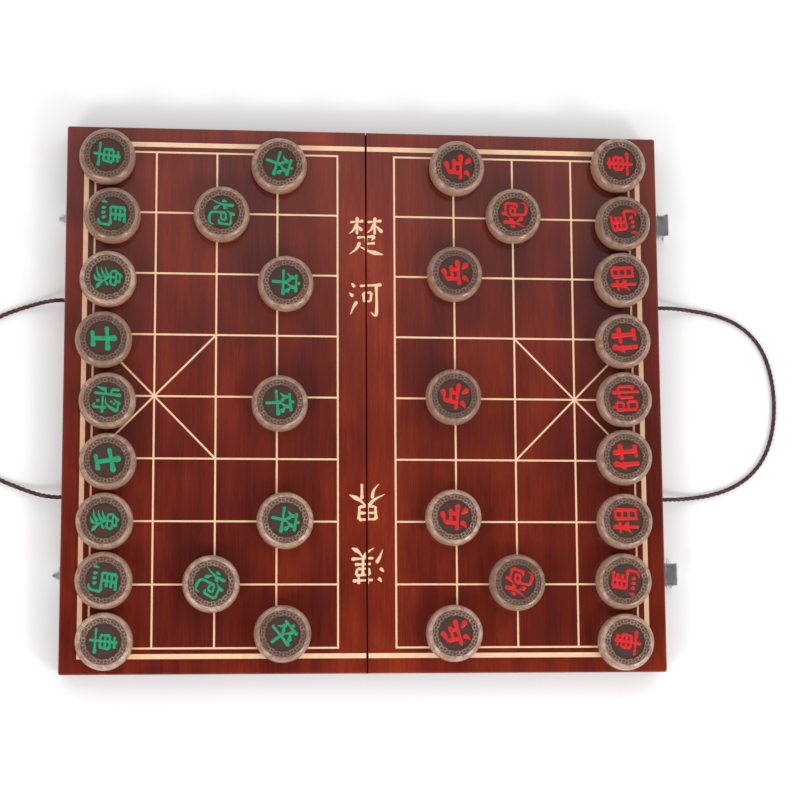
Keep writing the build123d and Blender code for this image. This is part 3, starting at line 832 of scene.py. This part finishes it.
shared_signs = {
    "chariot": [
        ("bar", (30, 86), (72, 89)), ("post", (28, 70), (30, 36)), ("bar", (28, 70), (74, 73)),
        ("post", (74, 73), (71, 36)), ("bar", (33, 55), (68, 56)), ("bar", (31, 38), (70, 39)),
        ("bar", (6, 20), (95, 24)), ("post", (50, 98), (50, 0)),
    ],
    "horse": [
        ("post", (26, 94), (24, 44)), ("bar", (26, 93), (80, 96)), ("bar", (28, 77), (74, 79)),
        ("bar", (27, 61), (73, 63)), ("post", (52, 94), (50, 45)), ("bar", (24, 43), (90, 47)),
        ("hook", (90, 47), (86, 8), (68, 3)), ("dot", (10, 30), (4, 8)), ("dot", (28, 28), (31, 12)),
        ("dot", (44, 28), (49, 12)), ("dot", (60, 30), (67, 15)),
    ],
    "cannon": [
        ("dot", (10, 66), (6, 48)), ("dot", (36, 70), (28, 54)), ("sweep", (22, 92), (20, 50), (4, 10)),
        ("press", (24, 42), (40, 18)), ("sweep", (56, 98), (50, 80), (40, 66)), ("bar", (52, 82), (92, 84)),
        ("hook", (92, 84), (88, 44), (74, 42)), ("bar", (52, 64), (76, 66)), ("post", (76, 66), (74, 48)),
        ("bar", (52, 48), (74, 48)), ("hook", (50, 64), (50, 18), (60, 8), (88, 8), (95, 26)),
    ],
}
signs = {
    "green": {
        **shared_signs,
        "elephant": [
            ("sweep", (45, 100), (30, 84), (20, 76)), ("bar", (42, 92), (66, 93)),
            ("sweep", (66, 93), (54, 80)), ("post", (24, 78), (27, 58)), ("bar", (25, 78), (76, 80)),
            ("post", (76, 80), (72, 60)), ("post", (48, 79), (47, 60)), ("bar", (28, 60), (72, 61)),
            ("sweep", (50, 60), (34, 46), (14, 38)), ("hook", (44, 54), (62, 36), (58, 10), (42, 2)),
            ("sweep", (52, 44), (34, 30), (16, 24)), ("sweep", (56, 30), (38, 14), (14, 8)),
            ("sweep", (78, 54), (60, 40)), ("press", (60, 40), (76, 22), (94, 12)),
        ],
        "advisor": [
            ("bar", (8, 62), (94, 66)), ("post", (50, 98), (50, 10)), ("bar", (22, 12), (80, 15)),
        ],
        "general": [
            ("post", (12, 90), (12, 62)), ("bar", (12, 62), (28, 62)), ("bar", (6, 40), (28, 42)),
            ("sweep", (16, 40), (6, 8)), ("post", (30, 98), (30, 2)), ("sweep", (62, 98), (46, 72)),
            ("bar", (58, 90), (88, 90)), ("sweep", (88, 90), (66, 50), (42, 44)),
            ("dot", (58, 80), (64, 72)), ("dot", (52, 68), (58, 62)), ("bar", (38, 34), (98, 38)),
            ("hook", (78, 50), (78, 6), (64, 10)), ("dot", (52, 24), (60, 14)),
        ],
        "soldier": [
            ("dot", (46, 100), (54, 90)), ("bar", (18, 84), (84, 87)),
            ("sweep", (34, 80), (28, 64), (16, 52)), ("dot", (34, 68), (46, 54)),
            ("sweep", (68, 82), (62, 66), (50, 52)), ("press", (68, 68), (86, 50)),
            ("bar", (4, 38), (97, 42)), ("post", (50, 56), (50, -2)),
        ],
    },
    "red": {
        **shared_signs,
        "elephant": [
            ("bar", (6, 70), (46, 74)), ("post", (28, 98), (28, 2)), ("sweep", (27, 66), (18, 44), (4, 28)),
            ("dot", (32, 56), (44, 40)), ("post", (58, 88), (58, 8)), ("bar", (58, 88), (90, 90)),
            ("post", (90, 90), (88, 8)), ("bar", (60, 64), (87, 65)), ("bar", (60, 40), (87, 41)),
            ("bar", (60, 14), (88, 15)),
        ],
        "advisor": [
            ("sweep", (30, 98), (22, 74), (4, 52)), ("post", (22, 72), (22, 2)),
            ("bar", (38, 64), (98, 68)), ("post", (68, 96), (68, 12)), ("bar", (44, 12), (92, 15)),
        ],
        "general": [
            ("sweep", (24, 100), (16, 88)), ("post", (10, 86), (10, 8)), ("bar", (10, 84), (38, 85)),
            ("post", (38, 85), (36, 60)), ("bar", (12, 60), (36, 60)), ("bar", (10, 42), (40, 43)),
            ("post", (40, 43), (38, 10)), ("bar", (12, 10), (38, 11)), ("post", (54, 72), (54, 20)),
            ("bar", (54, 74), (94, 76)), ("hook", (94, 76), (92, 22), (82, 28)),
            ("post", (74, 100), (74, -2)),
        ],
        "soldier": [
            ("sweep", (66, 98), (48, 88), (26, 84)), ("post", (30, 84), (28, 40)),
            ("bar", (32, 62), (78, 66)), ("post", (62, 64), (62, 42)), ("bar", (4, 38), (97, 42)),
            ("sweep", (36, 26), (26, 12), (14, 4)), ("dot", (62, 26), (74, 14), (84, 4)),
        ],
    },
}
# How far each piece was set down askew, in degrees; its sign faces its own player.
askew = {
    "green": {
        "chariot_far": -8, "horse_far": -4.5, "elephant_far": -5, "advisor_far": 1, "general": -6,
        "advisor_near": 8.5, "elephant_near": -8, "horse_near": -9.5, "chariot_near": -6.5,
        "cannon_far": -3, "cannon_near": -26, "soldier_1": -19, "soldier_2": -4, "soldier_3": 3,
        "soldier_4": -11, "soldier_5": 36,
    },
    "red": {
        "chariot_far": -1.5, "horse_far": 8, "elephant_far": 4, "advisor_far": 6, "general": 3,
        "advisor_near": 5, "elephant_near": 0, "horse_near": -9, "chariot_near": -10.5,
        "cannon_far": 0, "cannon_near": -16, "soldier_1": -4, "soldier_2": 2, "soldier_3": -11,
        "soldier_4": -5, "soldier_5": 13,
    },
}
facing = {"green": -90, "red": 90}
man_contrast = 1.6
man_shades = [
    (0.32, (128, 98, 82)), (0.48, (152, 120, 103)), (0.58, (168, 136, 119)), (0.72, (200, 170, 152)),
]
# the sides of a piece are a paler tan than its face: partly the turned side's own colour, partly painted light for the
# lamps on the near side
side_tan_and_light, side_light_share = (180, 139, 109), 0.6
band_stain = ((72, 50, 40), (98, 73, 62))
recess_stain = ((58, 40, 33), (80, 57, 47))
cut_share = 0.9                       # of the band's stain in the wood's colour
polished, unpolished = 0.34, 0.64     # roughness of the wood, and of what the carving left bare
polish_coat, bare_coat = 0.5, 0.05
level_from, steep_below = 0.97, 0.3   # how far a face that the carving left points up
woods = {                             # how pale each wood is, and how its grain lies, in degrees
    "dark": (-0.09, (12, 101)), "middle": (0.0, (57, 146)), "pale": (0.09, (31, 120)),
}
dark_men = (
    "green_advisor_far", "green_chariot_far", "green_horse_far", "red_cannon_near", "red_horse_far",
    "red_soldier_2", "red_soldier_3",
)
pale_men = (
    "green_cannon_near", "green_chariot_near", "green_elephant_far", "green_soldier_4",
    "red_chariot_near", "red_soldier_4", "red_soldier_5",
)


def man_wood(name, grain_turn, paleness):
    """Polished taupe wood with pale streaks; the carved face is stained dark in its depths."""
    finish = new_finish(name, Roughness=0.38, Specular_IOR_Level=0.3, Coat_Roughness=0.13)
    place, normal = finish.place(), finish.add("ShaderNodeTexCoord", out="Normal")
    turned = finish.add("ShaderNodeMapping", None, {"Vector": place, "Rotation": (0, 0, grain_turn)})
    mottle = finish.noise(turned, stretched(5, 14, AXIS_X), 3.0)
    streaks = finish.noise(turned, stretched(1.2, 26, AXIS_X), 3.0, 0.6)
    pores = finish.noise(turned, stretched(0.3, 3, AXIS_X), 1.0)
    figure = mottle * 0.45 + streaks * 0.4 + pores * 0.15
    colour = finish.stained((figure - 0.5) * man_contrast + 0.5 + paleness, man_shades)
    upright = finish.part(normal, AXIS_Z)
    # painted light, in part: every side is mixed towards the paler tan that the lit near side shows
    painted_light_side = 1 - upright.ramp(0.2, 0.8)
    colour = finish.mix(painted_light_side * side_light_share, colour, rgb(*side_tan_and_light))
    depth = man_thickness - (finish.part(place, AXIS_Z) - board_top)
    flat_or_wall = (upright > level_from).maximum(upright < steep_below)
    carved = flat_or_wall * (depth < recess_sink + 0.2 * mm)
    cut = carved * depth.ramp(0, band_sink)
    in_recess = carved * (depth > recess_sink - 0.3 * mm)
    speckle = finish.noise(place, (700, 700, 700), 2.0)
    band_colour = finish.mix(speckle, *(rgb(*shade) for shade in band_stain))
    colour = finish.mix(cut * cut_share, colour, band_colour)
    recess_colour = finish.mix(speckle, *(rgb(*shade) for shade in recess_stain))
    colour = finish.mix(in_recess, colour, recess_colour)
    relief = streaks * 0.5 + pores * 0.5
    finish.join(finish.shader, {
        "Base Color": colour,
        "Roughness": polished + cut * (unpolished - polished),
        "Coat Weight": polish_coat - cut * (polish_coat - bare_coat),
        "Normal": finish.bump(relief, 0.04 * mm, 0.5),
    })
    return finish.owner


def sign_paint(name, colour, thin_colour):
    """Half matt paint, thinner in patches."""
    finish = new_finish(name, Roughness=0.5, Specular_IOR_Level=0.3, Coat_Weight=0.2, Coat_Roughness=0.25)
    place = finish.place()
    patchy = finish.noise(place, (500, 500, 500), 3.0)
    grainy = finish.noise(place, (2500, 2500, 2500), 2.0)
    finish.join(finish.shader, {
        "Base Color": finish.mix(patchy.ramp(0.35, 0.75) * 0.6, rgb(*colour), rgb(*thin_colour)),
        "Normal": finish.bump(grainy, 0.04 * mm, 0.5),
    })
    return finish.owner


def key_band(middle):
    """The carved key pattern, which stands in the band round a game piece's face."""
    columns, rows = key_units * len(key_rows[0]), len(key_rows)
    floor = board_top + man_thickness - band_sink

    def filled(column, row):
        return key_rows[row][column % len(key_rows[0])] == "#"

    def place(column, row, top):
        angle = 2 * pi * column / columns
        radius = band_outer - (band_outer - band_inner) * row / rows
        height = floor + (key_height if top else -key_root)
        return middle.x + radius * cos(angle), middle.y + radius * sin(angle), height

    mesh = bmesh.new()
    add_cells(mesh, columns, rows, filled, place, ring=True)
    return mesh


man_woods = {
    tone: [man_wood(f"man_wood_{tone}_{turn}", radians(turn), paleness) for turn in turns]
    for tone, (paleness, turns) in woods.items()
}
paints = {                            # the colour of each, and of the patches where it lies thin
    "green": sign_paint("green_paint", (22, 164, 112), (14, 132, 88)),
    "red": sign_paint("red_paint", (229, 22, 26), (202, 18, 24)),
}
for colour in ("green", "red"):
    for i, (name, turn) in enumerate(askew[colour].items()):
        man = f"{colour}_{name}"
        lowest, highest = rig.box(man)
        middle = Vector(((lowest[0] + highest[0]) / 2, (lowest[1] + highest[1]) / 2, 0))
        tone = "dark" if man in dark_men else "pale" if man in pale_men else "middle"
        wood = man_woods[tone][i % len(man_woods[tone])]
        dress([man], wood)
        band = new_piece(f"{man}_key_band", key_band(middle), [wood])
        rank = name.split("_")[0]
        pen = sign_pens[colour][rank] * mm
        sign_mesh = brushed(signs[colour][rank], (sign_size, sign_size), pen, sign_height)
        floor = board_top + man_thickness - recess_sink
        place = Matrix.Translation((middle.x, middle.y, floor))
        sign_mesh.transform(place @ Matrix.Rotation(radians(facing[colour] + turn), 4, "Z"))
        sign = new_piece(f"{man}_sign", sign_mesh, [paints[colour]], smooth=True)
        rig.slot(band, f"{colour}_man_wood")
        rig.slot(sign, f"{colour}_paint")
        for piece in (band, sign):
            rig.ride(piece, man)

# Hinges: two brass butts let into the hinge walls under the seam, each with a brass pin and
# six countersunk steel screws.
def worn_metal(name, bright, dull, polish, grain):
    """Bare or plated metal, dulled in patches, with fine scratches along that axis."""
    finish = new_finish(name, Metallic=1.0)
    place = finish.place()
    patches = finish.noise(place, (150, 150, 150), 4.0)
    scratches = finish.noise(place, stretched(0.2, 6, grain), 1.0)
    finish.join(finish.shader, {
        "Base Color": finish.mix(patches.ramp(0.4, 0.7), rgb(*bright), rgb(*dull)),
        "Roughness": polish + patches * 0.12 + scratches * 0.08,
        "Normal": finish.bump(scratches, 0.01 * mm, 0.4),
    })
    return finish.owner


brass = worn_metal("hinge_brass", (222, 184, 112), (168, 128, 70), 0.24, AXIS_Y)
steel = worn_metal("screw_steel", (206, 206, 208), (150, 150, 152), 0.26, AXIS_X)
dress(["left_hinge_leaves", "right_hinge_leaves", "hinge_pins"], brass)
dress(["left_screws", "right_screws"], steel)

# Latches and catches: nickel-plated pressings that are screwed on the outer walls. Each lever
# and its wire bail turn on a base with two ears, and the bail goes over the catch's hook.
nickel = worn_metal("latch_nickel", (228, 229, 232), (200, 202, 206), 0.26, AXIS_Y)
dress([f"{end}_latch_{part}" for end in ends for part in ("base", "lever", "bail")], nickel)
dress([f"{end}_catch_plate" for end in ends], nickel)
dress(["latch_pins"], steel)

size_lines = {"cad": [list(c) for c in cad_box], "visual": [list(c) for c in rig.bounds()]}
with open("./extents.json", "w") as size_file:
    json.dump(size_lines, size_file, indent=1)
